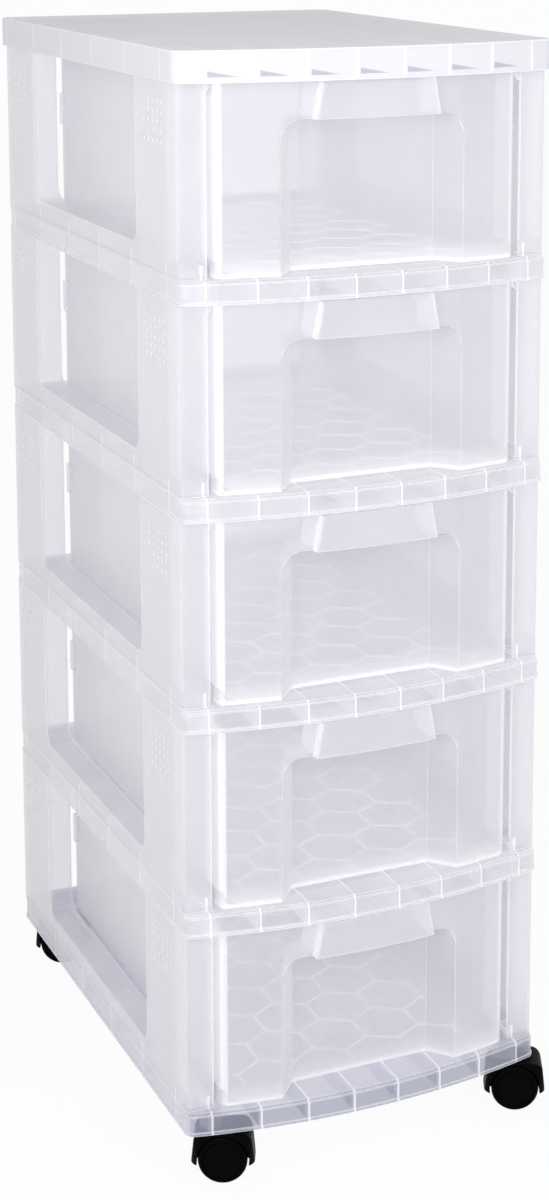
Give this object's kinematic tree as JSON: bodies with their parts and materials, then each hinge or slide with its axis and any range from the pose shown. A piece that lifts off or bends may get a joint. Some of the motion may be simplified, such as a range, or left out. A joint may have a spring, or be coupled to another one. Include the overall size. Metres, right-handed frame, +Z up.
{
  "type": "drawer tower",
  "caption": "Free-standing tower of translucent plastic drawers held between windowed side panels and ribbed decks, on twin-wheel swivel casters.",
  "frame": {"origin": "on the floor, below the middle of the whole part's box", "axes": "+X towards the right as seen from the front, +Y towards the back, +Z up; the drawers pull out towards -Y"},
  "size_m": [0.3144, 0.4442, 0.864],
  "materials": {
    "clear_pp": "satin",
    "milky_pp": "satin",
    "drawer_pp": "satin",
    "black_nylon": "satin",
    "steel": "satin"
  },
  "bodies": {
    "tower": {"top_cover": "milky_pp", "deck_5": "clear_pp", "deck_4": "clear_pp", "deck_3": "clear_pp", "deck_2": "clear_pp", "base_deck": "clear_pp", "side_panel_left_1": "clear_pp", "side_panel_left_2": "clear_pp", "side_panel_left_3": "clear_pp", "side_panel_left_4": "clear_pp", "side_panel_left_5": "clear_pp", "side_panel_right_1": "clear_pp", "side_panel_right_2": "clear_pp", "side_panel_right_3": "clear_pp", "side_panel_right_4": "clear_pp", "side_panel_right_5": "clear_pp", "caster_stem_fl": "steel", "caster_grip_ring_fl": "steel", "caster_stem_fr": "steel", "caster_grip_ring_fr": "steel", "caster_stem_rl": "steel", "caster_grip_ring_rl": "steel", "caster_stem_rr": "steel", "caster_grip_ring_rr": "steel"},
    "pull_out_1": {"drawer_1": "drawer_pp"},
    "pull_out_2": {"drawer_2": "drawer_pp"},
    "pull_out_3": {"drawer_3": "drawer_pp"},
    "pull_out_4": {"drawer_4": "drawer_pp"},
    "pull_out_5": {"drawer_5": "drawer_pp"},
    "swivel_fl": {"caster_hood_fl": "black_nylon", "caster_axle_fl": "steel"},
    "roller_a_fl": {"caster_wheel_a_fl": "black_nylon"},
    "roller_b_fl": {"caster_wheel_b_fl": "black_nylon"},
    "swivel_fr": {"caster_hood_fr": "black_nylon", "caster_axle_fr": "steel"},
    "roller_a_fr": {"caster_wheel_a_fr": "black_nylon"},
    "roller_b_fr": {"caster_wheel_b_fr": "black_nylon"},
    "swivel_rl": {"caster_hood_rl": "black_nylon", "caster_axle_rl": "steel"},
    "roller_a_rl": {"caster_wheel_a_rl": "black_nylon"},
    "roller_b_rl": {"caster_wheel_b_rl": "black_nylon"},
    "swivel_rr": {"caster_hood_rr": "black_nylon", "caster_axle_rr": "steel"},
    "roller_a_rr": {"caster_wheel_a_rr": "black_nylon"},
    "roller_b_rr": {"caster_wheel_b_rr": "black_nylon"}
  },
  "joints": [
    {"name": "drawer_slide_1", "type": "slide", "parent": "tower", "child": "pull_out_1", "axis": [0, -1, 0], "range_m": [0, 0.25]},
    {"name": "drawer_slide_2", "type": "slide", "parent": "tower", "child": "pull_out_2", "axis": [0, -1, 0], "range_m": [0, 0.25]},
    {"name": "drawer_slide_3", "type": "slide", "parent": "tower", "child": "pull_out_3", "axis": [0, -1, 0], "range_m": [0, 0.25]},
    {"name": "drawer_slide_4", "type": "slide", "parent": "tower", "child": "pull_out_4", "axis": [0, -1, 0], "range_m": [0, 0.25]},
    {"name": "drawer_slide_5", "type": "slide", "parent": "tower", "child": "pull_out_5", "axis": [0, -1, 0], "range_m": [0, 0.25]},
    {"name": "caster_swivel_fl", "type": "hinge", "parent": "tower", "child": "swivel_fl", "pos_m": [-0.13122, -0.19026, 0.035], "axis": [0, 0, 1], "continuous": true},
    {"name": "wheel_spin_a_fl", "type": "hinge", "parent": "swivel_fl", "child": "roller_a_fl", "pos_m": [-0.12215, -0.19448, 0.019], "axis": [0.4226, 0.9063, 0], "continuous": true},
    {"name": "wheel_spin_b_fl", "type": "hinge", "parent": "swivel_fl", "child": "roller_b_fl", "pos_m": [-0.12215, -0.19448, 0.019], "axis": [0.4226, 0.9063, 0], "continuous": true},
    {"name": "caster_swivel_fr", "type": "hinge", "parent": "tower", "child": "swivel_fr", "pos_m": [0.12278, -0.19026, 0.035], "axis": [0, 0, 1], "continuous": true},
    {"name": "wheel_spin_a_fr", "type": "hinge", "parent": "swivel_fr", "child": "roller_a_fr", "pos_m": [0.13184, -0.19448, 0.019], "axis": [0.4226, 0.9063, 0], "continuous": true},
    {"name": "wheel_spin_b_fr", "type": "hinge", "parent": "swivel_fr", "child": "roller_b_fr", "pos_m": [0.13184, -0.19448, 0.019], "axis": [0.4226, 0.9063, 0], "continuous": true},
    {"name": "caster_swivel_rl", "type": "hinge", "parent": "tower", "child": "swivel_rl", "pos_m": [-0.13122, 0.20575, 0.035], "axis": [0, 0, 1], "continuous": true},
    {"name": "wheel_spin_a_rl", "type": "hinge", "parent": "swivel_rl", "child": "roller_a_rl", "pos_m": [-0.12215, 0.20152, 0.019], "axis": [0.4226, 0.9063, 0], "continuous": true},
    {"name": "wheel_spin_b_rl", "type": "hinge", "parent": "swivel_rl", "child": "roller_b_rl", "pos_m": [-0.12215, 0.20152, 0.019], "axis": [0.4226, 0.9063, 0], "continuous": true},
    {"name": "caster_swivel_rr", "type": "hinge", "parent": "tower", "child": "swivel_rr", "pos_m": [0.12278, 0.20575, 0.035], "axis": [0, 0, 1], "continuous": true},
    {"name": "wheel_spin_a_rr", "type": "hinge", "parent": "swivel_rr", "child": "roller_a_rr", "pos_m": [0.13184, 0.20152, 0.019], "axis": [0.4226, 0.9063, 0], "continuous": true},
    {"name": "wheel_spin_b_rr", "type": "hinge", "parent": "swivel_rr", "child": "roller_b_rr", "pos_m": [0.13184, 0.20152, 0.019], "axis": [0.4226, 0.9063, 0], "continuous": true}
  ]
}
